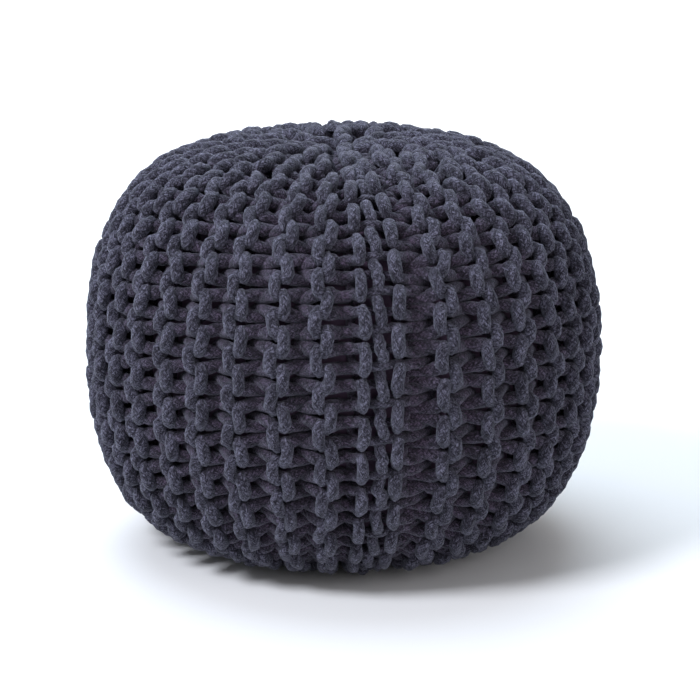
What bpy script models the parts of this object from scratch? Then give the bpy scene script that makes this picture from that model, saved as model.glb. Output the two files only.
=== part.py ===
"""Round knitted pouf, in metres, +Z up, standing on the floor at z = 0.

The cover is one garter-stitch panel of thick cotton cord, knitted sideways, so its ridges run from
the crown to the base like meridians. It is filled firmly: cover and filling are one closed solid.
Angles round the pouf start at the front (-Y) and grow towards the right (+X). Ridge 0 is the seam's
left column, ridge 1 is the next one to its left, and the last ridge is the seam's right column.
"""

import math
from collections import namedtuple

import bmesh
import bpy
import numpy as np

# Overall form
RADIUS = 0.2225  # axis to the ridge crests at the widest level
CROWN_RISE = 0.189  # widest level up to the crown
BASE_DROP = 0.163  # widest level down to the base, before the floor presses it flat
CROWN_FLATNESS = 3.8  # exponents of the outline: a larger flatness gives a flatter pole,
BASE_FLATNESS = 4.8
CROWN_FULLNESS = 2.37  # and a larger fullness gives a straighter side
BASE_FULLNESS = 2.13
DIMPLE_DEPTH = 0.006  # where the gathering yarn draws the crown in
DIMPLE_WIDTH = 0.028
LEAN = 0.0035  # how far the crown and the base lie to the left of the widest level
FOOT_RADIUS = 0.098  # flat disc that rests on the floor

# Knitting
STITCHES = 23  # from pole to pole along one ridge
CORD = 0.0093  # diameter of the cotton cord
RIDGES = 38  # the two seam columns are the first and the last of them
RIDGE_DEPTH = 0.0085  # crest to valley
BAR_DIP = 0.0036  # how far a crest falls between one bar of cord and the next
BAR_OFFSET = 0.0049  # centre of a ridge to each of its two columns of bars
SEAM_BAR_OFFSET = 0.0034  # a seam column is a single column of bars, as wide as the cord
SEAM_ANGLE = 4.1  # degrees from the front to the seam's left column
SEAM_GAP = 8.6  # degrees between the seam's two columns
SEAM_DEPTH = 0.0055  # the sewn groove between them

# Short rows: how many stitches from a pole each ridge of a wedge of three ends
WEDGE = (
    {"ridge": "full", "ends": 0.0},
    {"ridge": "short", "ends": 3.9},
    {"ridge": "middle", "ends": 2.5},
)
RIDGE_FADE = 1.0  # stitches over which a ridge sinks where it ends
SUNK_WIDTH = 0.25  # width that a sunk ridge keeps, as a share of a full one's
GATHER_START = 0.4  # stitches from a pole where the valleys begin to open
GATHER_END = 2.2

# Mesh
OUTLINE_SAMPLES = 400  # fine points along a half of the outline, before it is divided into rows
ROWS_PER_STITCH = 2
LEAST_FOOT_STEP = 0.3  # share of a row's spacing that the last row keeps to the foot's rim
FOOT_FADE = 1.6  # the ridges reach their full depth at this many foot radii
WIDEST_SPREAD = 0.28  # the two bars' offset, at most, as a share of the way to the next ridge

CORD_COLOUR = (0.040, 0.041, 0.058, 1.0)
CORD_ROUGHNESS = 0.95

Row = namedtuple("Row", "number radius height out_radius out_height from_pole ridge_depth")


def remove_everything():
    for old in list(bpy.data.objects):
        bpy.data.objects.remove(old, do_unlink=True)


def smoothstep(value, low, high):
    share = min(max((value - low) / (high - low), 0.0), 1.0)
    return share * share * (3.0 - 2.0 * share)


def half_outline(rise, flatness, fullness):
    """A quarter of a squashed circle, from a pole to the widest level: radii and heights."""
    turn = np.linspace(0.0, math.pi / 2, OUTLINE_SAMPLES)
    return RADIUS * np.sin(turn) ** (2.0 / flatness), rise * np.cos(turn) ** (2.0 / fullness)


def outline():
    """Length, radius and height along the crests, from the crown's centre to the base's."""
    upper_radius, upper_rise = half_outline(CROWN_RISE, CROWN_FLATNESS, CROWN_FULLNESS)
    lower_radius, lower_drop = half_outline(BASE_DROP, BASE_FLATNESS, BASE_FULLNESS)
    upper_rise -= DIMPLE_DEPTH * np.exp(-((upper_radius / DIMPLE_WIDTH) ** 2))
    pressed = np.interp(FOOT_RADIUS, lower_radius, lower_drop)
    radius = np.concatenate([upper_radius, lower_radius[-2::-1]])
    height = pressed + np.concatenate([upper_rise, -lower_drop[-2::-1]])
    height = np.maximum(height, 0.0)
    length = np.concatenate([[0.0], np.cumsum(np.hypot(np.diff(radius), np.diff(height)))])
    return length, radius, height


def make_rows(length, radius, height):
    """One row of points for each half stitch, from the crown to the foot's rim."""
    stitch = length[-1] / STITCHES
    spacing = stitch / ROWS_PER_STITCH
    widest = length[np.argmax(radius)]
    foot_rim = length[-1] - FOOT_RADIUS
    last = int(foot_rim / spacing - LEAST_FOOT_STEP)
    places = [number * spacing for number in range(1, last + 1)] + [foot_rim]
    rows = []
    for number, along in enumerate(places, start=1):
        before, here, after = np.interp([along - spacing, along, along + spacing], length, radius)
        above, level, below = np.interp([along - spacing, along, along + spacing], length, height)
        run = math.hypot(after - before, above - below)
        from_pole = min(along, length[-1] - along) / stitch
        depth = RIDGE_DEPTH * smoothstep(from_pole, GATHER_START, GATHER_END)
        if along > widest:
            depth *= smoothstep(here, FOOT_RADIUS, FOOT_FADE * FOOT_RADIUS)
        out = (above - below) / run, (after - before) / run
        rows.append(Row(number, here, level, *out, from_pole, depth))
    return rows


def ridge_presence(ridge, row):
    """1 where a ridge stands at its full height, and 0 past the end of its short rows."""
    if ridge in (0, RIDGES - 1):
        return 1.0
    ends = WEDGE[ridge % len(WEDGE)]["ends"]
    return smoothstep(row.from_pole, ends - RIDGE_FADE / 2, ends + RIDGE_FADE / 2) if ends else 1.0


def ridge_angles(presence):
    """Angle of each ridge's centre in a row. The ridges share what the seam leaves of the circle."""
    width = SUNK_WIDTH + (1.0 - SUNK_WIDTH) * presence
    steps = (width[:-1] + width[1:]) / 2.0
    turned = np.concatenate([[0.0], np.cumsum(steps)]) / steps.sum()
    return math.radians(SEAM_ANGLE) - turned * math.radians(360.0 - SEAM_GAP)


def across_row(row):
    """Angle and depth of each point in a row: a ridge's two columns of bars, then a valley."""
    presence = np.array([ridge_presence(ridge, row) for ridge in range(RIDGES)])
    centres = ridge_angles(presence)
    gaps = np.append(centres[:-1] - centres[1:], math.radians(SEAM_GAP))
    relief = row.ridge_depth / RIDGE_DEPTH
    points = []
    for ridge in range(RIDGES):
        in_seam = ridge in (0, RIDGES - 1)
        offset = SEAM_BAR_OFFSET if in_seam else BAR_OFFSET
        spread = min(offset / row.radius, WIDEST_SPREAD * gaps[ridge])
        sunk = row.ridge_depth * (1.0 - presence[ridge])
        for column in (0, 1):
            staggered = ridge if in_seam else column
            dips = (row.number + staggered) % 2
            angle = centres[ridge] + spread * (1 - 2 * column)
            points.append((angle, sunk + dips * BAR_DIP * relief))
        valley = SEAM_DEPTH * relief if ridge == RIDGES - 1 else row.ridge_depth
        points.append((centres[ridge] - gaps[ridge] / 2.0, valley))
    return points


def lean(height, widest_height, top):
    """Sideways shift of a level: none at the widest one, and LEAN to the left at both poles."""
    reach = top - widest_height if height > widest_height else widest_height
    return -LEAN * ((height - widest_height) / reach) ** 2


def add_band(mesh, upper, lower):
    """Faces between two rings, each four points split along the diagonal that stands prouder, so
    that the proud points of a ridge join up in a zigzag, as its two staggered columns of bars do."""
    count = len(upper)
    for index in range(count):
        following = (index + 1) % count
        (a, a_depth), (b, b_depth) = upper[index], upper[following]
        (c, c_depth), (d, d_depth) = lower[following], lower[index]
        if a_depth + c_depth <= b_depth + d_depth:
            halves = (a, b, c), (a, c, d)
        else:
            halves = (a, b, d), (b, c, d)
        for half in halves:
            mesh.faces.new(half)


def build_pouf():
    length, radius, height = outline()
    rows = make_rows(length, radius, height)
    widest_height = height[np.argmax(radius)]
    top = height.max()

    mesh = bmesh.new()
    rings = []
    for row in rows:
        shift = lean(row.height, widest_height, top)
        ring = []
        for angle, depth in across_row(row):
            reach = row.radius - depth * row.out_radius
            level = max(row.height - depth * row.out_height, 0.0)
            place = shift + reach * math.sin(angle), -reach * math.cos(angle), level
            ring.append((mesh.verts.new(place), depth))
        rings.append(ring)

    crown = mesh.verts.new((lean(height[0], widest_height, top), 0.0, height[0]))
    first_ring = [point for point, depth in rings[0]]
    for point, following in zip(first_ring, first_ring[1:] + first_ring[:1]):
        mesh.faces.new((crown, point, following))
    for upper, lower in zip(rings, rings[1:]):
        add_band(mesh, upper, lower)
    mesh.faces.new([point for point, depth in rings[-1]])
    bmesh.ops.recalc_face_normals(mesh, faces=mesh.faces)

    data = bpy.data.meshes.new("knitted_pouf")
    mesh.to_mesh(data)
    mesh.free()
    data.shade_smooth()
    return data


def cord_material():
    material = bpy.data.materials.new("cotton_cord")
    material.use_nodes = True
    shader = material.node_tree.nodes["Principled BSDF"]
    shader.inputs["Base Color"].default_value = CORD_COLOUR
    shader.inputs["Roughness"].default_value = CORD_ROUGHNESS
    shader.inputs["Metallic"].default_value = 0.0
    return material


def main():
    remove_everything()
    data = build_pouf()
    data.materials.append(cord_material())
    pouf = bpy.data.objects.new("knitted_pouf", data)
    bpy.context.scene.collection.objects.link(pouf)


main()
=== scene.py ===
"""Looks of the knitted pouf: its garter-stitch cover, stitch by stitch, in soft cotton cord.

The cover is a panel knitted sideways, so its courses run from the crown to the base like meridians.
Two courses meet in each ridge. Each course lays a column of short bars on the ridge, sends its legs
behind the other course's bars and down into the valley, and lays bars on the inside there.
Angles round the pouf start at the front (-Y) and grow towards the right (+X). Ridge 0 is the seam's
left column, ridge 1 is the next one to its left, and the last ridge is the seam's right column.
Lengths are in metres, unless a comment says stitches or cords.
"""

import math

import bpy
import numpy as np
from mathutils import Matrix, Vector


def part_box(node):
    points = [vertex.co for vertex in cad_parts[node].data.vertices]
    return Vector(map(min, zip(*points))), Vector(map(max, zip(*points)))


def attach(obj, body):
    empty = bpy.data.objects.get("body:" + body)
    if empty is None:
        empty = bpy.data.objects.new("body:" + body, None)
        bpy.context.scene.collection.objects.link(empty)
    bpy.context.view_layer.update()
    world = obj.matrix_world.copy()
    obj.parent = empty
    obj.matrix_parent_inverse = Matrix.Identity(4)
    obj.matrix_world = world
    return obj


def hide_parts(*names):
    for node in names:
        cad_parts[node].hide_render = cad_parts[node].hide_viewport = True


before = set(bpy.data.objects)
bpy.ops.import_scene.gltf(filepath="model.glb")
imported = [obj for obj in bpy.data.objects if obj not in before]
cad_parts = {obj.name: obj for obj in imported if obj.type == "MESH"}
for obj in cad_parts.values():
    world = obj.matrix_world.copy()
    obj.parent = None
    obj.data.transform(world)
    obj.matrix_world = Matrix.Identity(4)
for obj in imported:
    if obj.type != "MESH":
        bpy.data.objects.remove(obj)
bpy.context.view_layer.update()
NODE = "knitted_pouf"
BODY = "root"
node_low, node_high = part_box(NODE)

# Overall form, from the frame and as the solid has it
RADIUS = (node_high.x - node_low.x) / 2
HEIGHT = node_high.z
CROWN_SHARE = 0.5385  # of the height, from the widest level up
CROWN_EXTRA = 0.0005  # that the crown has beyond its share, taken from the base
PRESSED = 0.0016  # how much the floor presses the base up
# Exponents of the outline's two halves: 2.0 gives an ellipse, and more gives a boxier curve
CROWN_FLATNESS = 3.8
BASE_FLATNESS = 4.8
CROWN_FULLNESS = 2.37
BASE_FULLNESS = 2.13
DIMPLE_DEPTH = 0.006
DIMPLE_WIDTH = 0.028
LEAN = 0.0035  # how far left of the widest level the crown and the base lie
FOOT_RADIUS = 0.098
OUTLINE_STEP = 0.001
BLUR_STEPS = 12  # to each side, over which the outward direction is evened out

# Knitting
STITCHES = 22  # from pole to pole
CORD = 0.0098  # diameter of the cord
RIDGES = 38
SEAM_RIDGES = (0, RIDGES - 1)
BAR_OFFSET = 0.0058  # centre of a ridge to each of its two columns of bars
SEAM_ANGLE = 4.0  # degrees from the front to the seam's left column
SEAM_GAP = 8.2  # degrees between the seam's two columns
LEFT_STEPS = (8.1, 9.3, 10.1, 9.1)  # degrees from ridge to ridge, next to the seam at its left
RIGHT_STEPS = (10.8, 10.4, 9.9)  # and at its right; the other ridges lie evenly
PHASE = 0.27  # stitches from the crown to the first right-hand bar
SAG = 1.0  # stitches that the rows at the pouf's sides lie below those at the front
SAG_CENTRE = 6.0  # degrees from the front, where the rows lie highest
SAG_FADES = ((1.5, 7.0), (15.0, 20.5))  # stitches from the crown where it sets in, and ends
SAG_ROUNDING = 0.01  # of its curve, where the rows turn at the sides

# Short rows: how many stitches from a pole each ridge of a wedge of six ends
FULL_ENDS = 0.45  # of a ridge that runs all the way
WEDGE_ENDS = (3.9, 2.6, FULL_ENDS, 3.9, 2.6, 1.3)
RIDGE_FADE = (0.75, 0.25)  # stitches poleward of a ridge's end, and past it, where it narrows
ENDED_WIDTH = 0.04  # share of its width that a ridge keeps beyond its end

# What changes near the poles: its share, and the stitches from a pole where it lets off and ends
UNEVEN_POLES = (0.7, 2.0, 5.5)  # more unevenness
SHALLOW_POLES = (0.30, 2.5, 6.5)  # shallower valleys
SWOLLEN_POLES = (0.16, 1.0, 4.5)  # a wider cord

# One half of a stitch, from the middle of a front bar to the middle of the next back bar.
# Across: bar offsets + share of the way to the valley + cords. Along in stitches, sunk in cords.
# Wide and deep are the cord's section there, along and into the skin.
STITCH_COLUMNS = ("offsets", "valley", "cords", "along", "sunk", "wide", "deep")
ALONG = STITCH_COLUMNS.index("along")
SUNK = STITCH_COLUMNS.index("sunk")
HALF_STITCH = (
    (-1.06, 0.0, 0.00, 0.000, 0.62, 1.00, 1.26),
    (-1.02, 0.0, 0.00, 0.115, 0.64, 1.03, 1.26),
    (-0.90, 0.0, 0.00, 0.215, 0.73, 1.08, 1.22),
    (-0.70, 0.0, 0.00, 0.272, 0.86, 1.10, 1.14),
    (-0.38, 0.0, 0.00, 0.286, 0.98, 1.03, 1.04),
    (0.05, 0.0, 0.00, 0.266, 1.11, 0.98, 0.97),
    (0.55, 0.0, 0.00, 0.244, 1.22, 1.06, 0.96),
    (1.00, 0.0, 0.15, 0.236, 1.30, 1.16, 1.00),
    (0.00, 0.5, 0.00, 0.216, 1.44, 1.16, 1.04),
    (-1.00, 1.0, -0.05, 0.188, 1.66, 1.06, 1.02),
    (0.00, 1.0, 0.00, 0.160, 1.94, 0.98, 0.98),
    (0.70, 1.0, 0.00, 0.160, 2.14, 0.98, 0.96),
    (1.40, 1.0, 0.00, 0.184, 2.30, 1.00, 0.98),
    (2.00, 1.0, 0.00, 0.236, 2.44, 1.02, 1.00),
    (2.40, 1.0, 0.00, 0.340, 2.58, 1.02, 1.00),
    (2.50, 1.0, 0.00, 0.500, 2.70, 1.02, 1.00),
)
# The same in a seam column, whose bars are long and stand alone
SEAM_HALF_STITCH = (
    (0.00, 0.0, -0.10, 0.000, 0.58, 1.06, 1.16),
    (0.00, 0.0, -0.09, 0.130, 0.60, 1.06, 1.16),
    (0.00, 0.0, -0.06, 0.245, 0.70, 1.06, 1.12),
    (0.00, 0.0, 0.00, 0.318, 0.88, 1.02, 1.04),
    (0.00, 0.0, 0.06, 0.334, 1.08, 0.98, 0.96),
    (0.00, 0.0, 0.18, 0.312, 1.24, 0.92, 0.94),
    (0.00, 0.0, 0.50, 0.270, 1.40, 0.90, 0.94),
    (0.00, 0.0, 1.00, 0.215, 1.56, 0.88, 0.95),
    (0.00, 0.5, 0.00, 0.184, 1.70, 0.88, 0.95),
)
VALLEY_REACH = 0.6  # stitches from a ridge to the valley, roughly
HIDDEN_DEPTHS = (2.2, 2.6)  # cords under the crests between which the cord passes out of sight
HIDDEN_SAVING = 0.5  # share of the steps that it goes without there
STEPS_PER_STITCH = 26
SIDES = 10

# The legs. Pairs of depths, in cords, say where on the way down a change sets in and is full.
LEG_SLANT = 0.05  # stitches by which the legs that go right rise on their way
SLANT_DEPTHS = (1.2, 1.95)
LEG_DIVE = 0.08  # cords by which the far ends of those that go left lie deeper
DIVE_DEPTHS = (1.8, 2.25)
LEG_ENDS = (2.25, 2.75)  # where the legs turn into the bars on the inside
SEAM_REACH = 0.9  # bar offsets that the legs next to the seam reach further
SEAM_REACH_DEPTHS = (1.8, 2.4)
# Next to the seam, stitches from a bar's middle to its legs in the valley, for each ridge and side
SEAM_LEGS = {(0, 1): 0.27, (1, -1): 0.27, (RIDGES - 1, -1): 0.35, (RIDGES - 2, 1): 0.14}
SEAM_LEG_DEPTHS = (1.15, 1.65)
BAR_DEPTHS = (0.7, 1.5)  # where the front bars turn into legs

# Where the ridges stand close together
TIGHT_BELOW = 1.9  # cords from ridge to valley
CLOSEST_BAR = 0.27  # share of the way to the valley that a bar's offset keeps to
LEAST_RADIUS = 0.006  # round the axis, for the angles of what lies closer

# Two points that take a course's end into the filling: cords onward and inward of its last point
END_STEPS = ((0.6, 0.5), (1.0, 1.2))
END_SUNK = 2.0  # cords, the depth given to them for the painted shade

# Unevenness, as the size of a usual difference, and what differs from stitch to stitch
UNEVEN_ROWS = ("ahead", "aside", "deeper", "leaning", "wider")
UNEVEN_ALONG = 0.024  # stitches
UNEVEN_ACROSS = 0.0006
UNEVEN_DEPTH = 0.0006
UNEVEN_LEAN = 0.0048  # across, for a stitch along
SEAM_EVENNESS = 0.4  # share of that lean in the seam's columns
UNEVEN_WIDTH = 0.04  # of the cord, as a share
SLIP = 0.08  # stitches that a ridge's stitches lie before or after their place
SLIP_SCALE = 4.0  # ridges over which that changes
SWAY = 0.0010  # of a ridge to its side
SWAY_SCALE = 1.5  # stitches over which that changes
SWAY_RADIUS = 0.03  # closer to the axis it is held back
DRIFT_WAVES = 5  # of which slip and sway are made
DRIFT_RATES = (0.3, 1.6)
DRIFT_SIZE = 1.4
LUMPS = 0.08  # of the cord, as a share of its radius

FLOOR_GAP = 0.0002  # under the pressed cords
TURNED_IN = 0.4  # cords between the depth of a cord's middle and that of its inner side, for the painted shade
PAINTED_SHADE_DEPTHS = (0.4, 1.5)  # cords under the crests between which the painted shade of the valleys comes in
BAKE_PAD = 0.03  # share of a row of the bake left free at each side

SEED = 6496
rng = np.random.default_rng(SEED)


def smoothstep(value, low, high):
    share = np.clip((value - low) / (high - low), 0.0, 1.0)
    return share * share * (3.0 - 2.0 * share)


def catmull_rom(p0, p1, p2, p3, u):
    """A smooth curve through four values, from p1 where u is 0 to p2 where it is 1."""
    return 0.5 * (
        2 * p1
        + (p2 - p0) * u
        + (2 * p0 - 5 * p1 + 4 * p2 - p3) * u**2
        + (3 * p1 - p0 - 3 * p2 + p3) * u**3
    )


# ---------------------------------------------------------------- the pouf's skin


def half_outline(rise, flatness, fullness, samples=400):
    turn = np.linspace(0.0, math.pi / 2, samples)
    return RADIUS * np.sin(turn) ** (2.0 / flatness), rise * np.cos(turn) ** (2.0 / fullness)


def evened(values):
    window = np.hanning(2 * BLUR_STEPS + 1)
    return np.convolve(np.pad(values, BLUR_STEPS, "edge"), window / window.sum(), "valid")


def make_outline():
    """Radius, height and outward direction at even steps of length, from crown to base."""
    crown_rise = HEIGHT * CROWN_SHARE + CROWN_EXTRA
    base_drop = HEIGHT * (1.0 - CROWN_SHARE) + PRESSED - CROWN_EXTRA
    upper_radius, upper_rise = half_outline(crown_rise, CROWN_FLATNESS, CROWN_FULLNESS)
    lower_radius, lower_drop = half_outline(base_drop, BASE_FLATNESS, BASE_FULLNESS)
    upper_rise = upper_rise - DIMPLE_DEPTH * np.exp(-((upper_radius / DIMPLE_WIDTH) ** 2))
    pressed = np.interp(FOOT_RADIUS, lower_radius, lower_drop)
    radius = np.concatenate([upper_radius, lower_radius[-2::-1]])
    height = pressed + np.concatenate([upper_rise, -lower_drop[-2::-1]])
    height = np.maximum(height, 0.0)
    length = np.concatenate([[0.0], np.cumsum(np.hypot(np.diff(radius), np.diff(height)))])
    even = np.arange(0.0, length[-1] + OUTLINE_STEP, OUTLINE_STEP)
    radius = np.interp(even, length, radius)
    height = np.interp(even, length, height)
    out_radius, out_height = evened(-np.gradient(height)), evened(np.gradient(radius))
    run = np.hypot(out_radius, out_height)
    return even, radius, height, out_radius / run, out_height / run


LENGTH, SKIN_RADIUS, SKIN_HEIGHT, OUT_RADIUS, OUT_HEIGHT = make_outline()
STITCH = LENGTH[-1] / STITCHES
WIDEST_HEIGHT = SKIN_HEIGHT[np.argmax(SKIN_RADIUS)]
TOP_HEIGHT = SKIN_HEIGHT.max()


def lean(height):
    reach = np.where(height > WIDEST_HEIGHT, TOP_HEIGHT - WIDEST_HEIGHT, WIDEST_HEIGHT)
    return -LEAN * ((height - WIDEST_HEIGHT) / reach) ** 2


def place(along, angle, sunk):
    """Points on or under the skin, and the skin's outward direction there."""
    out_r = np.interp(along, LENGTH, OUT_RADIUS)
    out_h = np.interp(along, LENGTH, OUT_HEIGHT)
    radius = np.interp(along, LENGTH, SKIN_RADIUS) - sunk * out_r
    height = np.interp(along, LENGTH, SKIN_HEIGHT) - sunk * out_h
    x = lean(height) + radius * np.sin(angle)
    y = -radius * np.cos(angle)
    out = np.stack([out_r * np.sin(angle), -out_r * np.cos(angle), out_h], -1)
    return np.stack([x, y, height], -1), out


# ---------------------------------------------------------------- where the ridges run


def ridge_end(ridge):
    return FULL_ENDS if ridge in SEAM_RIDGES else WEDGE_ENDS[(ridge - 1) % len(WEDGE_ENDS)]


def make_ridge_angles():
    """Angle of each ridge's centre at each step of LENGTH: one row for each ridge."""
    from_pole = np.minimum(LENGTH, LENGTH[-1] - LENGTH) / STITCH
    width = np.ones((RIDGES, len(LENGTH)))
    for ridge in range(RIDGES):
        ends = ridge_end(ridge)
        if ends > FULL_ENDS:
            presence = smoothstep(from_pole, ends - RIDGE_FADE[0], ends + RIDGE_FADE[1])
            width[ridge] = ENDED_WIDTH + (1.0 - ENDED_WIDTH) * presence
    uneven = sum(LEFT_STEPS) + sum(RIGHT_STEPS)
    others = RIDGES - 1 - len(LEFT_STEPS) - len(RIGHT_STEPS)
    even_step = (360.0 - SEAM_GAP - uneven) / others
    measured = np.array(LEFT_STEPS + (even_step,) * others + RIGHT_STEPS[::-1])
    steps = measured[:, None] * (width[:-1] + width[1:]) / 2.0
    turned = np.vstack([np.zeros(len(LENGTH)), np.cumsum(steps, 0)]) / steps.sum(0)
    return math.radians(SEAM_ANGLE) - turned * math.radians(360.0 - SEAM_GAP)


RIDGE_ANGLES = make_ridge_angles()


def row_shift(at, angle):
    """Stitches that a row lies below its place at the front, away from the poles."""
    turned = np.cos(angle - math.radians(SAG_CENTRE))
    sets_in, ends = SAG_FADES
    here = smoothstep(at, *sets_in) * (1.0 - smoothstep(at, *ends))
    return SAG * (1.0 - np.sqrt(turned**2 + SAG_ROUNDING)) * here


# ---------------------------------------------------------------- one stitch


def through(points, per_gap=8):
    """A smooth curve through rows of numbers that repeat: the last row ends one stitch on."""
    shift = np.zeros(points.shape[1])
    shift[ALONG] = points[-1, ALONG] - points[0, ALONG]
    longer = np.vstack([points[-2] - shift, points, points[1] + shift])
    share = np.arange(per_gap)[:, None] / per_gap
    gaps = [catmull_rom(*longer[i : i + 4], share) for i in range(len(points) - 1)]
    return np.vstack(gaps + [points[-1]])


def make_template(half):
    """One whole stitch, from the middle of a back bar to the middle of the next, in steps that
    are even where the cord shows, and longer where it is hidden."""
    half = np.array(half)
    mirrored = half[::-1].copy()
    mirrored[:, ALONG] *= -1.0
    curve = through(np.vstack([mirrored[:-1], half]))
    # One of each column in metres, as it is on a ridge of usual width
    metres = np.array([BAR_OFFSET, VALLEY_REACH * STITCH, CORD, STITCH, CORD, 0.0, 0.0])
    step = np.linalg.norm(np.diff(curve * metres, axis=0), axis=1)
    hidden = smoothstep(curve[:, SUNK], *HIDDEN_DEPTHS)
    step *= 1.0 - HIDDEN_SAVING * (hidden[1:] + hidden[:-1]) / 2
    run = np.concatenate([[0.0], np.cumsum(step)])
    wanted = np.linspace(0.0, run[-1], STEPS_PER_STITCH + 1)[:-1]
    return np.stack([np.interp(wanted, run, column) for column in curve.T], -1)


TEMPLATE = make_template(HALF_STITCH)
SEAM_TEMPLATE = make_template(SEAM_HALF_STITCH + HALF_STITCH[len(SEAM_HALF_STITCH) :])


# ---------------------------------------------------------------- cord as a mesh


def add_piece(name, mesh):
    piece = bpy.data.objects.new(name, mesh)
    bpy.context.scene.collection.objects.link(piece)
    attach(piece, BODY)
    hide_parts(NODE)
    return piece


def mesh_of_faces(name, points, quads, caps):
    """A mesh of four-sided faces and, after them, of caps with SIDES corners."""
    loops = np.concatenate([quads.ravel(), caps.ravel()])
    sizes = np.concatenate([np.full(len(quads), 4), np.full(len(caps), SIDES)])
    starts = np.concatenate([[0], np.cumsum(sizes)[:-1]])
    mesh = bpy.data.meshes.new(name)
    mesh.vertices.add(len(points))
    mesh.vertices.foreach_set("co", points.astype(np.float32).ravel())
    mesh.loops.add(len(loops))
    mesh.loops.foreach_set("vertex_index", loops.astype(np.int32))
    mesh.polygons.add(len(sizes))
    mesh.polygons.foreach_set("loop_start", starts.astype(np.int32))
    mesh.polygons.foreach_set("loop_total", sizes.astype(np.int32))
    return mesh


def add_maps(mesh, **maps):
    """UV maps of the four-sided faces. The caps don't show, so each lies in a single place."""
    for name, faces in maps.items():
        corners = np.vstack(faces).reshape(-1, 2)
        places = np.zeros((len(mesh.loops), 2))
        places[: len(corners)] = corners
        layer = mesh.uv_layers.new(name=name)
        layer.uv.foreach_set("vector", places.astype(np.float32).ravel())
    mesh.uv_layers.active = mesh.uv_layers["OFBake"]


class CordMesh:
    """Lengths of cord gathered into one mesh, with maps for the weave and for the bake."""

    def __init__(self, name):
        self.name = name
        self.tubes = []

    def add(self, path, out, wide, deep, sunk=1.0):
        """A closed tube along path. Its section is wide along the skin and deep along out.

        sunk is the path's depth under the crests, in cords, which sets the painted shade there."""
        ahead = np.gradient(path, axis=0)
        ahead /= np.linalg.norm(ahead, axis=1, keepdims=True)
        side = np.cross(ahead, out)
        side /= np.linalg.norm(side, axis=1, keepdims=True)
        up = np.cross(side, ahead)
        turn = 2 * np.pi * np.arange(SIDES) / SIDES
        half_side = side * (np.broadcast_to(wide, len(path)) / 2)[:, None]
        half_up = up * (np.broadcast_to(deep, len(path)) / 2)[:, None]
        ring = half_side[:, None] * np.sin(turn)[:, None] - half_up[:, None] * np.cos(turn)[:, None]
        lumps = 1.0 + LUMPS * rng.normal(0.0, 1.0, (len(path), SIDES, 1))
        lumps[1:-1] = (lumps[:-2] + 2.0 * lumps[1:-1] + lumps[2:]) / 4.0  # evened along the cord
        points = path[:, None] + ring * lumps
        run = np.concatenate([[0.0], np.cumsum(np.linalg.norm(np.diff(path, axis=0), axis=1))])
        depth = np.broadcast_to(sunk, len(path))[:, None] + TURNED_IN * np.cos(turn)
        self.tubes.append((points, run, depth))

    def build(self, material):
        """Make the piece. In the bake's square, each step of a tube has a cell of its own."""
        steps = sum(len(run) - 1 for _, run, _ in self.tubes)
        mean_step = sum(run[-1] for _, run, _ in self.tubes) / steps
        cells_across = max(1, round(math.sqrt(steps * math.pi * CORD / mean_step)))
        cells_down = math.ceil(steps / cells_across)
        ring = np.arange(SIDES)
        quads, caps, weave, bake = [], [], [], []
        first_point = first_step = 0
        for _, run, _ in self.tubes:
            last = len(run) - 1
            i, j = (grid.ravel() for grid in np.meshgrid(np.arange(last), ring, indexing="ij"))
            after = (j + 1) % SIDES
            corners = ((i, j), (i, after), (i + 1, after), (i + 1, j))
            quads.append(np.stack([first_point + a * SIDES + b for a, b in corners], -1))
            caps += [first_point + ring[::-1], first_point + last * SIDES + ring]
            around = np.stack([j, j + 1, j + 1, j], -1) / SIDES
            along = run[np.stack([i, i, i + 1, i + 1], -1)] + rng.uniform(0.0, 1.0)
            weave.append(np.stack([along, around * math.pi * CORD], -1))
            row, column = np.divmod(first_step + i, cells_across)
            over = np.stack([column, column, column + 1, column + 1], -1) / cells_across
            down = (row[:, None] + BAKE_PAD + (1 - 2 * BAKE_PAD) * around) / cells_down
            bake.append(np.stack([over, down], -1))
            first_point += (last + 1) * SIDES
            first_step += last
        points = np.vstack([rings.reshape(-1, 3) for rings, _, _ in self.tubes])
        points[:, 2] = np.maximum(points[:, 2], FLOOR_GAP)
        mesh = mesh_of_faces(self.name, points, np.vstack(quads), np.array(caps))
        add_maps(mesh, OFBake=bake, weave=weave)
        mesh.update(calc_edges=True)
        mesh.validate()
        mesh.polygons.foreach_set("use_smooth", np.ones(len(mesh.polygons), bool))
        self.add_painted_shade_mask(mesh)
        mesh.materials.append(material)
        add_piece(self.name, mesh)

    def add_painted_shade_mask(self, mesh):
        """A mask for the painted shade: a grey for each point, lighter the deeper it lies."""
        depth = np.concatenate([depths.ravel() for _, _, depths in self.tubes])
        grey = smoothstep(depth, *PAINTED_SHADE_DEPTHS)[:, None]
        shade = grey * (1.0, 1.0, 1.0, 0.0) + (0.0, 0.0, 0.0, 1.0)
        colours = mesh.color_attributes.new("depth", "FLOAT_COLOR", "POINT")
        colours.data.foreach_set("color", shade.astype(np.float32).ravel())


# ---------------------------------------------------------------- knitting


def drift_of(scale):
    """A smooth, seeded function of one variable of about unit size."""
    rates = rng.uniform(*DRIFT_RATES, DRIFT_WAVES) / scale
    shifts = rng.uniform(0.0, 2 * math.pi, DRIFT_WAVES)
    sizes = rng.normal(0.0, 1.0 / math.sqrt(DRIFT_WAVES), DRIFT_WAVES)
    waves = list(zip(sizes, rates, shifts))
    return lambda at: sum(s * np.sin(r * at + h) for s, r, h in waves) * DRIFT_SIZE


sway = [drift_of(SWAY_SCALE) for _ in range(RIDGES)]
slip = drift_of(SLIP_SCALE)


def near_poles(from_pole, share, lets_off, ends):
    """share next to the poles and 0 away from them."""
    return share * (1.0 - smoothstep(from_pole, lets_off, ends))


def in_legs(sunk, depths, size=1.0):
    """size along the legs, and 0 in the bars at their two ends."""
    return size * smoothstep(sunk, *depths) * (1.0 - smoothstep(sunk, *LEG_ENDS))


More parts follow.
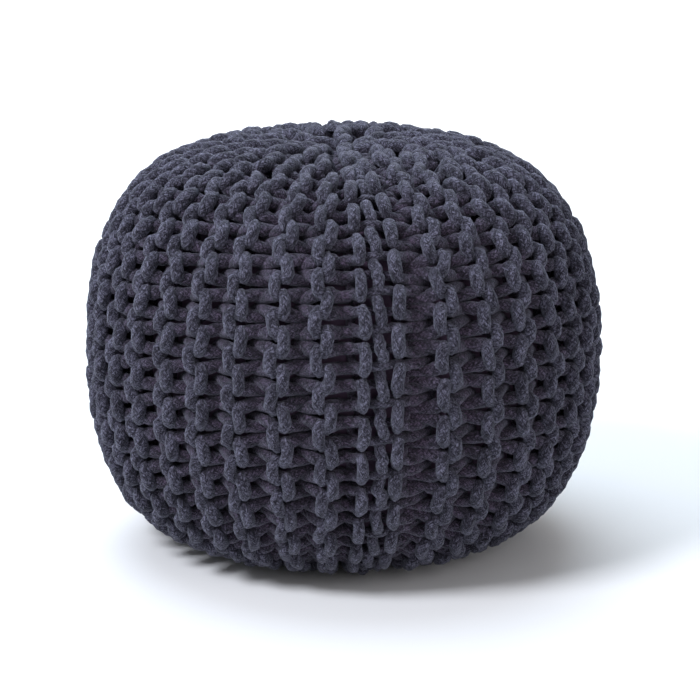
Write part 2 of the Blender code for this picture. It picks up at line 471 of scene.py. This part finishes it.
def lay_legs(ridge, side, offsets, along, sunk):
    """Lay the legs aside from where the template has them, each kind its own way."""
    if ridge + side in SEAM_RIDGES:
        offsets = offsets + SEAM_REACH * smoothstep(sunk, *SEAM_REACH_DEPTHS)
    if side < 0:
        along = along - in_legs(sunk, SLANT_DEPTHS, LEG_SLANT)
    else:
        sunk = sunk + LEG_DIVE * smoothstep(sunk, *DIVE_DEPTHS)
    if (ridge, side) in SEAM_LEGS:
        wanted = np.sign(along) * SEAM_LEGS[ridge, side]
        along = along + in_legs(sunk, SEAM_LEG_DEPTHS) * (wanted - along)
    return offsets, along, sunk


def end_of(last, out, before):
    """The points past a course's last one. out is the skin's outward direction there."""
    onward = (last - before) / np.linalg.norm(last - before)
    return np.array([last + onward * far * CORD - out * inward * CORD for far, inward in END_STEPS])


def add_course(cords, ridge, side):
    """One course: side 1 has its bars right of the ridge's centre, and its legs go left."""
    seam = ridge in SEAM_RIDGES
    ends = ridge_end(ridge)
    # The bars of a ridge's two courses lie half a stitch apart, and so do the seam's from the next
    phase = PHASE + (0.5 if side < 0 else 0.0) + (0.5 if seam else 0.0)
    stitches = np.arange(math.ceil(ends - phase), math.floor(STITCHES - ends - phase) + 1)
    template = np.tile(SEAM_TEMPLATE if seam else TEMPLATE, (len(stitches), 1))
    offsets, valley, cords_across, along, sunk, wide, deep = template.T
    front = 1.0 - smoothstep(sunk, *BAR_DEPTHS)
    offsets, along, sunk = lay_legs(ridge, side, offsets, along, sunk)

    flat = np.repeat(stitches, STEPS_PER_STITCH) + phase + along
    from_pole = np.minimum(flat, STITCHES - flat)
    uneven = rng.normal(0.0, 1.0, (len(UNEVEN_ROWS), len(stitches)))
    if seam:
        uneven[UNEVEN_ROWS.index("leaning")] *= SEAM_EVENNESS
    uneven = np.repeat(uneven, STEPS_PER_STITCH, axis=1)
    uneven = uneven * (1.0 + near_poles(from_pole, *UNEVEN_POLES))
    ahead, aside, deeper, leaning, wider = uneven

    middle = RIDGE_ANGLES[ridge][len(LENGTH) // 2]
    at = flat + row_shift(flat, middle) + SLIP * slip(ridge) + front * UNEVEN_ALONG * ahead
    length = np.clip(at * STITCH, 0.0, LENGTH[-1])
    radius = np.interp(length, LENGTH, SKIN_RADIUS)
    centre = np.interp(length, LENGTH, RIDGE_ANGLES[ridge])
    neighbour = np.interp(length, LENGTH, RIDGE_ANGLES[ridge + side])
    half_way = np.abs(centre - neighbour) / 2.0 * radius
    tight = np.clip(half_way / (TIGHT_BELOW * CORD), 0.0, 1.0)
    bar = np.minimum(BAR_OFFSET, CLOSEST_BAR * half_way)
    across = offsets * bar + valley * half_way + cords_across * CORD * tight
    across += front * UNEVEN_ACROSS * aside + front * along * UNEVEN_LEAN * leaning
    angle = centre - side * across / np.maximum(radius, LEAST_RADIUS)
    angle += SWAY * sway[ridge](at) / np.maximum(radius, SWAY_RADIUS)

    shallow = 1.0 - near_poles(from_pole, *SHALLOW_POLES)
    sunk = np.where(sunk > 1.0, 1.0 + (sunk - 1.0) * shallow, sunk)
    depth = sunk * CORD + front * UNEVEN_DEPTH * deeper
    swollen = 1.0 + near_poles(from_pole, *SWOLLEN_POLES)
    wide = wide * (1.0 + UNEVEN_WIDTH * wider) * swollen

    path, out = place(length, angle, depth)
    start, end = end_of(path[0], out[0], path[1]), end_of(path[-1], out[-1], path[-2])
    more = len(END_STEPS)
    cords.add(
        np.vstack([start[::-1], path, end]),
        np.pad(out, ((more, more), (0, 0)), "edge"),
        np.pad(wide * CORD, more, constant_values=CORD),
        np.pad(deep * CORD, more, constant_values=CORD),
        np.pad(depth / CORD, more, constant_values=END_SUNK),
    )


def knit_cover(material, pieces=13):
    courses = [(r, s) for r in range(RIDGES) for s in (-1, 1) if 0 <= r + s < RIDGES]
    per_piece = math.ceil(len(courses) / pieces)
    for number in range(pieces):
        cords = CordMesh(f"knit_{number + 1:02d}")
        for ridge, side in courses[number * per_piece : (number + 1) * per_piece]:
            add_course(cords, ridge, side)
        cords.build(material)


# ---------------------------------------------------------------- seam, poles and filling

# The seam: across in shares of the way from its middle to its columns, along in stitches from a
# bar of its left column, and sunk in cords
SEAM_STITCH = (
    (0.00, -0.81, 1.90),
    (-0.07, -0.68, 1.40),
    (-0.08, -0.53, 0.96),
    (-0.03, -0.38, 0.80),
    (0.04, -0.25, 0.74),
    (0.09, -0.12, 0.78),
    (0.14, 0.01, 0.96),
    (0.12, 0.11, 1.46),
)
SEAM_RUNGS = (
    (-1.30, 0.20, 1.86),
    (-0.85, 0.22, 1.50),
    (-0.45, 0.21, 1.22),
    (0.00, 0.19, 1.02),
    (0.45, 0.175, 1.16),
    (0.85, 0.17, 1.42),
    (1.30, 0.19, 1.86),
    (1.50, 0.32, 2.25),
    (1.50, 0.58, 2.25),
    (1.30, 0.70, 1.86),
    (0.85, 0.75, 1.50),
    (0.42, 0.74, 1.46),
    (0.00, 0.71, 1.72),
    (-0.42, 0.69, 1.54),
    (-0.85, 0.70, 1.54),
    (-1.30, 0.72, 1.86),
    (-1.50, 0.84, 2.25),
    (-1.50, 1.08, 2.25),
)
# Piece, its stitch, how uneven it is (across, along and sunk), and its cord
SEAM_CORDS = (
    ("seam_yarn", SEAM_STITCH, (0.05, 0.010, 0.04), 0.0093),
    ("seam_rungs", SEAM_RUNGS, (0.02, 0.014, 0.04), 0.0076),
)
SEAM_YARN_ENDS = 1.4  # stitches from the poles
SEAM_SAMPLES = 4  # for each point of a seam's stitch

# The gathering yarn at each pole: a coil of cord behind the ridges, drawn tight in the dimple
GATHER_RADII = (0.047, 0.0085)  # where the coil starts and ends
GATHER_TURNS = 4.1
GATHER_STEPS = 150
GATHER_SUNK = ((0.0, 0.05, 0.85, 1.0), (2.4, 1.75, 1.45, 1.25))  # share of the coil, cords
GATHER_CORD = 0.0094
# Waves along the coil: their size, as a share of its radius or in cords, and their rate
GATHER_RADIUS_WAVES = (0.03, 31.0)
GATHER_DEPTH_WAVES = (0.10, 57.0)

# The end of the seam yarn, at the front of the foot: right, forward and up
TAIL = (
    (0.0165, 0.1130, 0.0310),
    (0.0163, 0.1235, 0.0225),
    (0.0160, 0.1295, 0.0130),
    (0.0157, 0.1318, 0.0034),
)
TAIL_CORD = 0.0110
TAIL_STEPS = 24
TAIL_OUT = (0.0, -0.8, 0.6)
TAIL_TAPER = 0.6  # share of the cord lost at its tip
TAIL_TIP = (2.5, 3.0)  # where the tip starts and ends, in the table's rows

FILLING_SUNK = 2.45  # cords from the crests down to the filling
FILLING_BASE = 0.6  # share of that depth from the floor up to it


def smooth_through(fine, values):
    """A smooth curve through values that stand one apart, at the places that fine gives."""
    i = np.clip(fine.astype(int), 0, len(values) - 2)
    before, onward = np.maximum(i - 1, 0), np.minimum(i + 2, len(values) - 1)
    return catmull_rom(values[before], values[i], values[i + 1], values[onward], fine - i)


def seam_path(table, shake):
    stitch = np.array(table)
    first = math.ceil(SEAM_YARN_ENDS)
    last = math.floor(STITCHES - SEAM_YARN_ENDS) - 1
    rows = []
    for number in range(first, last + 1):
        shaken = stitch + rng.normal(0.0, 1.0, stitch.shape) * shake
        shaken[:, 1] += number + PHASE + 0.5
        rows.append(shaken)
    coarse = np.vstack(rows)
    fine = np.linspace(0, len(coarse) - 1, SEAM_SAMPLES * len(coarse))
    across, along, sunk = (smooth_through(fine, column) for column in coarse.T)
    length = (along + row_shift(along, math.radians(SEAM_ANGLE)) + SLIP * slip(0)) * STITCH
    left = np.interp(length, LENGTH, RIDGE_ANGLES[0])
    right = np.interp(length, LENGTH, RIDGE_ANGLES[-1]) + 2 * math.pi
    angle = (left + right) / 2 + across * (right - left) / 2
    path, out = place(length, angle, sunk * CORD)
    return path, out, sunk


def sew_seam(material):
    for name, table, shake, thick in SEAM_CORDS:
        cords = CordMesh(name)
        path, out, sunk = seam_path(table, shake)
        cords.add(path, out, thick, thick, sunk)
        cords.build(material)


def wave(steps, size, rate):
    return size * np.sin(rate * steps)


def gather_poles(material):
    cords = CordMesh("gathering_yarn")
    steps = np.linspace(0.0, 1.0, GATHER_STEPS)
    for pole in (0.0, LENGTH[-1]):
        start = rng.uniform(0.0, 2 * math.pi)
        uneven = 1.0 + wave(steps, *GATHER_RADIUS_WAVES)
        radius = np.interp(steps, (0.0, 1.0), GATHER_RADII) * uneven
        angle = start + 2 * math.pi * GATHER_TURNS * steps
        sunk = np.interp(steps, *GATHER_SUNK) + wave(steps, *GATHER_DEPTH_WAVES)
        path, out = place(np.abs(pole - radius), angle, sunk * CORD)
        cords.add(path, out, GATHER_CORD, GATHER_CORD, sunk)
    cords.build(material)


def leave_tail(material):
    points = np.array(TAIL) * (1.0, -1.0, 1.0)
    fine = np.linspace(0, len(points) - 1, TAIL_STEPS)
    path = np.stack([smooth_through(fine, column) for column in points.T], -1)
    out = np.tile(TAIL_OUT, (len(path), 1))
    thick = TAIL_CORD * (1.0 - TAIL_TAPER * smoothstep(fine, *TAIL_TIP))
    cords = CordMesh("yarn_tail")
    cords.add(path, out, thick, thick)
    cords.build(material)


def make_filling(material, around=120, rows=70):
    """The filled body behind the knitting, seen only between the cords, in a dark purple that is
    painted shade.
    """
    sunk = FILLING_SUNK * CORD
    lengths = np.linspace(0.0, LENGTH[-1], rows)
    angle = np.linspace(0.0, 2 * np.pi, around, endpoint=False)
    along, turned = np.meshgrid(lengths[1:-1], angle, indexing="ij")
    points, _ = place(along.ravel(), turned.ravel(), sunk)
    poles, _ = place(lengths[[0, -1]], np.zeros(2), sunk)
    points[:, 2] = np.maximum(points[:, 2], FILLING_BASE * sunk)
    crown, base = len(points), len(points) + 1
    last_row = len(points) - around
    pairs = [(j, (j + 1) % around) for j in range(around)]
    faces = []
    for row in range(0, last_row, around):
        below = row + around
        faces += [(row + j, below + j, below + k, row + k) for j, k in pairs]
    for j, k in pairs:
        faces += [(crown, j, k), (base, last_row + k, last_row + j)]
    mesh = bpy.data.meshes.new("filling")
    mesh.from_pydata(np.vstack([points, poles]).tolist(), [], faces)
    mesh.update()
    mesh.shade_smooth()
    mesh.materials.append(material)
    piece = add_piece("filling", mesh)


# ---------------------------------------------------------------- materials

BRAID_PITCH = 0.0034  # along the cord
BRAID_STRANDS = 6.0  # round the cord, of each hand
BRAID_SLOPE = 0.75  # radians between a strand and the cord
BRAID_ROUNDING = 0.6  # exponent of the strands' section
BRAID_EDGE = 4.0  # how sharply one hand takes over from the other
FIBRE_LENGTH = 0.0042
FIBRE_WIDTH = 0.0008
PLIES = 3.0  # the cord's thick strands, which wind round it
PLY_PITCH = 0.036  # along the cord, for one whole turn
PLY_ROUNDING = 0.7

# Noise over the whole pouf: scale and detail
FLECKS = (900.0, 2.0)
PATCHES = (240.0, 1.0)
BLOTCHES = (45.0, 1.0)
FILLING_NOISE = (300.0, 2.0)

# Positions and colours of the cord's ramp, from the gaps between its fibres and the painted shade
# in the grooves of its braid and plies, to the fibres' tips
TONE = 0.4490  # of the cord's shade, into the ramp
CORD_COLOURS = (
    (0.672, (0.005, 0.0035, 0.008)),
    (0.778, (0.034, 0.0315, 0.048)),
    (0.935, (0.146, 0.143, 0.203)),
)
PAINTED_SHADE_TINT = (0.66, 0.47, 0.56)  # painted shade of the cord in the valleys, darker and more purple
RELIEF = 0.0010
SHEEN_TINT = (0.62, 0.66, 0.8)
# The filling's colours are painted shade, as it shows in the holes between the cords.
FILLING_PAINTED_SHADE = ((0.0, (0.056, 0.033, 0.062)), (1.0, (0.096, 0.059, 0.104)))
FLOOR_COLOUR = (0.80, 0.80, 0.80)

# Sockets of a Mix node of colours, which share their names with those of its other kinds
MIX_FIRST, MIX_SECOND, MIX_RESULT = 6, 7, 2


def new_material(name):
    material = bpy.data.materials.new(name)
    material.use_nodes = True
    tree = material.node_tree
    return material, tree, tree.nodes["Principled BSDF"]


def link(tree, source, output, target, field):
    tree.links.new(source.outputs[output], target.inputs[field])


def set_fields(node, **fields):
    """Set a node's inputs, whose names are given with _ for a space."""
    for name, value in fields.items():
        node.inputs[name.replace("_", " ")].default_value = value


def math_node(tree, operation, *values):
    """A Math node. Each value is a number or a (node, output) pair."""
    node = tree.nodes.new("ShaderNodeMath")
    node.operation = operation
    for field, value in enumerate(values):
        if isinstance(value, tuple):
            link(tree, *value, node, field)
        else:
            node.inputs[field].default_value = value
    return node, "Value"


def noise_node(tree, source, output, scale, detail=2.0):
    noise = tree.nodes.new("ShaderNodeTexNoise")
    set_fields(noise, Scale=scale, Detail=detail)
    link(tree, source, output, noise, "Vector")
    return noise, "Fac"


def colour_ramp(tree, value, stops):
    """A ramp from a (node, output) pair, with (position, colour) stops."""
    ramp = tree.nodes.new("ShaderNodeValToRGB")
    elements = ramp.color_ramp.elements
    for element, (position, colour) in zip(elements, (stops[0], stops[-1])):
        element.position = position
        element.color = (*colour, 1.0)
    for position, colour in stops[1:-1]:
        elements.new(position).color = (*colour, 1.0)
    link(tree, *value, ramp, "Fac")
    return ramp


def fibres(tree, uv, slope):
    """Streaks of fibre that run at a slope to the cord."""
    turned = tree.nodes.new("ShaderNodeMapping")
    turned.vector_type = "TEXTURE"
    set_fields(turned, Rotation=(0.0, 0.0, slope), Scale=(FIBRE_LENGTH, FIBRE_WIDTH, 1.0))
    link(tree, uv, "UV", turned, "Vector")
    return noise_node(tree, turned, "Vector", 1.0)


def along_and_around(tree, uv, along_rate, around_rate):
    """Where a point is along and round its cord, in radians of a pattern."""
    split = tree.nodes.new("ShaderNodeSeparateXYZ")
    link(tree, uv, "UV", split, "Vector")
    along = math_node(tree, "MULTIPLY", (split, "X"), along_rate)
    around = math_node(tree, "MULTIPLY", (split, "Y"), around_rate)
    return along, around


def braid(tree, uv):
    """Height of the strands, and which hand lies on top: two families of strands that cross."""
    along, around = along_and_around(tree, uv, math.pi / BRAID_PITCH, BRAID_STRANDS / CORD)
    one = math_node(tree, "SINE", math_node(tree, "ADD", along, around))
    other = math_node(tree, "SINE", math_node(tree, "SUBTRACT", along, around))
    product = math_node(tree, "MULTIPLY", one, other)
    height = math_node(tree, "POWER", math_node(tree, "ABSOLUTE", product), BRAID_ROUNDING)
    hand = math_node(tree, "MULTIPLY_ADD", product, BRAID_EDGE, 0.5)
    hand[0].use_clamp = True
    return height, hand


def plies(tree, uv):
    """Height of the thick strands, from 0 in the grooves to 1."""
    along, around = along_and_around(tree, uv, math.pi * PLIES / PLY_PITCH, PLIES / CORD)
    strands = math_node(tree, "SINE", math_node(tree, "ADD", along, around))
    return math_node(tree, "POWER", math_node(tree, "ABSOLUTE", strands), PLY_ROUNDING)


def blend(tree, share, first, second):
    """first where share is 0 and second where it is 1."""
    change = math_node(tree, "MULTIPLY", share, math_node(tree, "SUBTRACT", second, first))
    return math_node(tree, "ADD", first, change)


def weighted(tree, *terms):
    """The sum of (node, output) pairs, each times its weight."""
    total = None
    for value, weight in terms:
        term = math_node(tree, "MULTIPLY", value, weight)
        total = term if total is None else math_node(tree, "ADD", total, term)
    return total


def cord_pattern(tree):
    """Shade and relief of the cord: its fibres, braid and plies, and its uneven dye. The shade
    holds painted shade in the grooves of the braid and plies.
    """
    uv = tree.nodes.new("ShaderNodeUVMap")
    uv.uv_map = "weave"
    place_node = tree.nodes.new("ShaderNodeTexCoord")
    height, hand = braid(tree, uv)
    streak = blend(tree, hand, fibres(tree, uv, BRAID_SLOPE), fibres(tree, uv, -BRAID_SLOPE))
    fleck, patch, blotch = (
        noise_node(tree, place_node, "Object", *noise) for noise in (FLECKS, PATCHES, BLOTCHES)
    )
    ply = plies(tree, uv)
    # Colour: fibre streaks and flecks and uneven dye in patches and blotches, with painted shade in
    # the grooves of the braid (height) and of the plies (ply).
    fibre = weighted(tree, (streak, 1.6), (fleck, 0.78))
    woven = weighted(tree, (fibre, 1.0), (height, 0.14), (patch, 0.35))
    shade = weighted(tree, (woven, 1.0), (ply, 0.16), (blotch, 0.3))
    relief = weighted(tree, (woven, 1.0), (ply, 0.40))
    return shade, relief


def cord_material():
    material, tree, shader = new_material("cotton_cord_knit")
    shade, relief = cord_pattern(tree)
    ramp = colour_ramp(tree, math_node(tree, "MULTIPLY", shade, TONE), CORD_COLOURS)
    depth = tree.nodes.new("ShaderNodeAttribute")
    depth.attribute_name = "depth"
    # Painted shade: the cord's colour is darkened and made more purple the deeper it lies.
    painted_shade = tree.nodes.new("ShaderNodeMix")
    painted_shade.data_type = "RGBA"
    painted_shade.blend_type = "MULTIPLY"
    painted_shade.inputs[MIX_SECOND].default_value = (*PAINTED_SHADE_TINT, 1.0)
    link(tree, depth, "Fac", painted_shade, "Factor")
    link(tree, ramp, "Color", painted_shade, MIX_FIRST)
    link(tree, painted_shade, MIX_RESULT, shader, "Base Color")
    bump = tree.nodes.new("ShaderNodeBump")
    set_fields(bump, Strength=1.0, Distance=RELIEF)
    link(tree, *relief, bump, "Height")
    link(tree, bump, "Normal", shader, "Normal")
    set_fields(shader, Roughness=0.9, Specular_IOR_Level=0.2)
    set_fields(shader, Sheen_Weight=0.25, Sheen_Roughness=0.5, Sheen_Tint=(*SHEEN_TINT, 1.0))
    return material


def filling_material():
    material, tree, shader = new_material("dark_filling")
    place_node = tree.nodes.new("ShaderNodeTexCoord")
    noise = noise_node(tree, place_node, "Object", *FILLING_NOISE)
    ramp = colour_ramp(tree, noise, FILLING_PAINTED_SHADE)
    link(tree, ramp, "Color", shader, "Base Color")
    set_fields(shader, Roughness=0.95)
    return material


# ---------------------------------------------------------------- stage

FLOOR_REACH = 40.0
GLOW_STARTS = 1.8  # from the pouf
GLOW_FULL = 4.5

# Name, place, target, size, power in watts and colour
MIDDLE = (0, 0, 0.17)
LIGHTS = (
    ("key", (-1.35, -1.1, 1.95), MIDDLE, 0.9, 59.0, (0.95, 0.98, 1.06)),
    ("fill", (1.7, -1.8, 1.3), MIDDLE, 2.0, 17.0, (1.0, 0.96, 0.98)),
    ("sky", (-0.3, 1.2, 2.6), (0, 1.0, 0), 2.8, 79.0, (0.76, 0.90, 1.04)),
    ("backdrop", (0.0, 4.2, 2.6), (0, 4.6, 0), 4.0, 160.0, (1.0, 1.0, 1.0)),
)
STUDIO_COLOUR = (0.95, 0.97, 1.0)
STUDIO_STRENGTH = 0.34

CAMERA_ELEVATION = 14.44  # degrees
CAMERA_DISTANCE = 9.706 * RADIUS
PIXELS_PER_RADIUS = 257.03  # at that distance
IMAGE_SIDE = 700
PHOTO_CENTRE = (343.7, 351.56)  # where the middle of the widest level shows
SENSOR_WIDTH = 36.0  # millimetres


def make_floor():
    """A pale floor that glows at a distance, so that it stays white all round."""
    mesh = bpy.data.meshes.new("floor")
    square = ((-1, -1), (1, -1), (1, 1), (-1, 1))
    corners = [(x * FLOOR_REACH, y * FLOOR_REACH, 0) for x, y in square]
    mesh.from_pydata(corners, [], [(0, 1, 2, 3)])
    floor = bpy.data.objects.new("floor", mesh)
    bpy.context.scene.collection.objects.link(floor)
    material, tree, shader = new_material("pale_floor")
    set_fields(shader, Base_Color=(*FLOOR_COLOUR, 1.0), Roughness=0.9)
    place_node = tree.nodes.new("ShaderNodeTexCoord")
    distance = tree.nodes.new("ShaderNodeVectorMath")
    distance.operation = "LENGTH"
    link(tree, place_node, "Object", distance, 0)
    glow = tree.nodes.new("ShaderNodeMapRange")
    glow.interpolation_type = "SMOOTHSTEP"
    set_fields(glow, From_Min=GLOW_STARTS, From_Max=GLOW_FULL)
    link(tree, distance, "Value", glow, "Value")
    link(tree, glow, "Result", shader, "Emission Strength")
    mesh.materials.append(material)


def area_light(name, location, target, size, power, colour):
    data = bpy.data.lights.new(name, "AREA")
    data.shape = "DISK"
    data.size = size
    data.energy = power
    data.color = colour
    light = bpy.data.objects.new(name, data)
    light.location = location
    light.rotation_mode = "QUATERNION"
    light.rotation_quaternion = (Vector(target) - Vector(location)).to_track_quat("-Z", "Y")
    bpy.context.scene.collection.objects.link(light)


def make_lights():
    for light in LIGHTS:
        area_light(*light)
    world = bpy.data.worlds.new("studio")
    world.use_nodes = True
    background = world.node_tree.nodes["Background"]
    set_fields(background, Color=(*STUDIO_COLOUR, 1.0), Strength=STUDIO_STRENGTH)
    bpy.context.scene.world = world
    bpy.context.scene.view_settings.view_transform = "Standard"


def make_camera():
    data = bpy.data.cameras.new("camera")
    data.sensor_width = SENSOR_WIDTH
    metres_per_pixel = RADIUS / PIXELS_PER_RADIUS
    data.lens = SENSOR_WIDTH * CAMERA_DISTANCE / (IMAGE_SIDE * metres_per_pixel)
    lift = math.radians(CAMERA_ELEVATION)
    back = Vector((0.0, -math.cos(lift), math.sin(lift)))
    up = Vector((0.0, math.sin(lift), math.cos(lift)))
    right = (IMAGE_SIDE / 2 - PHOTO_CENTRE[0]) * metres_per_pixel
    raised = (PHOTO_CENTRE[1] - IMAGE_SIDE / 2) * metres_per_pixel
    aim = Vector((right, 0.0, WIDEST_HEIGHT)) + up * raised
    camera = bpy.data.objects.new("camera", data)
    camera.location = aim + back * CAMERA_DISTANCE
    camera.rotation_mode = "QUATERNION"
    camera.rotation_quaternion = (-back).to_track_quat("-Z", "Y")
    bpy.context.scene.collection.objects.link(camera)
    bpy.context.scene.camera = camera


make_camera()
make_floor()
make_lights()
cord = cord_material()
knit_cover(cord)
sew_seam(cord)
gather_poles(cord)
leave_tail(cord)
make_filling(filling_material())
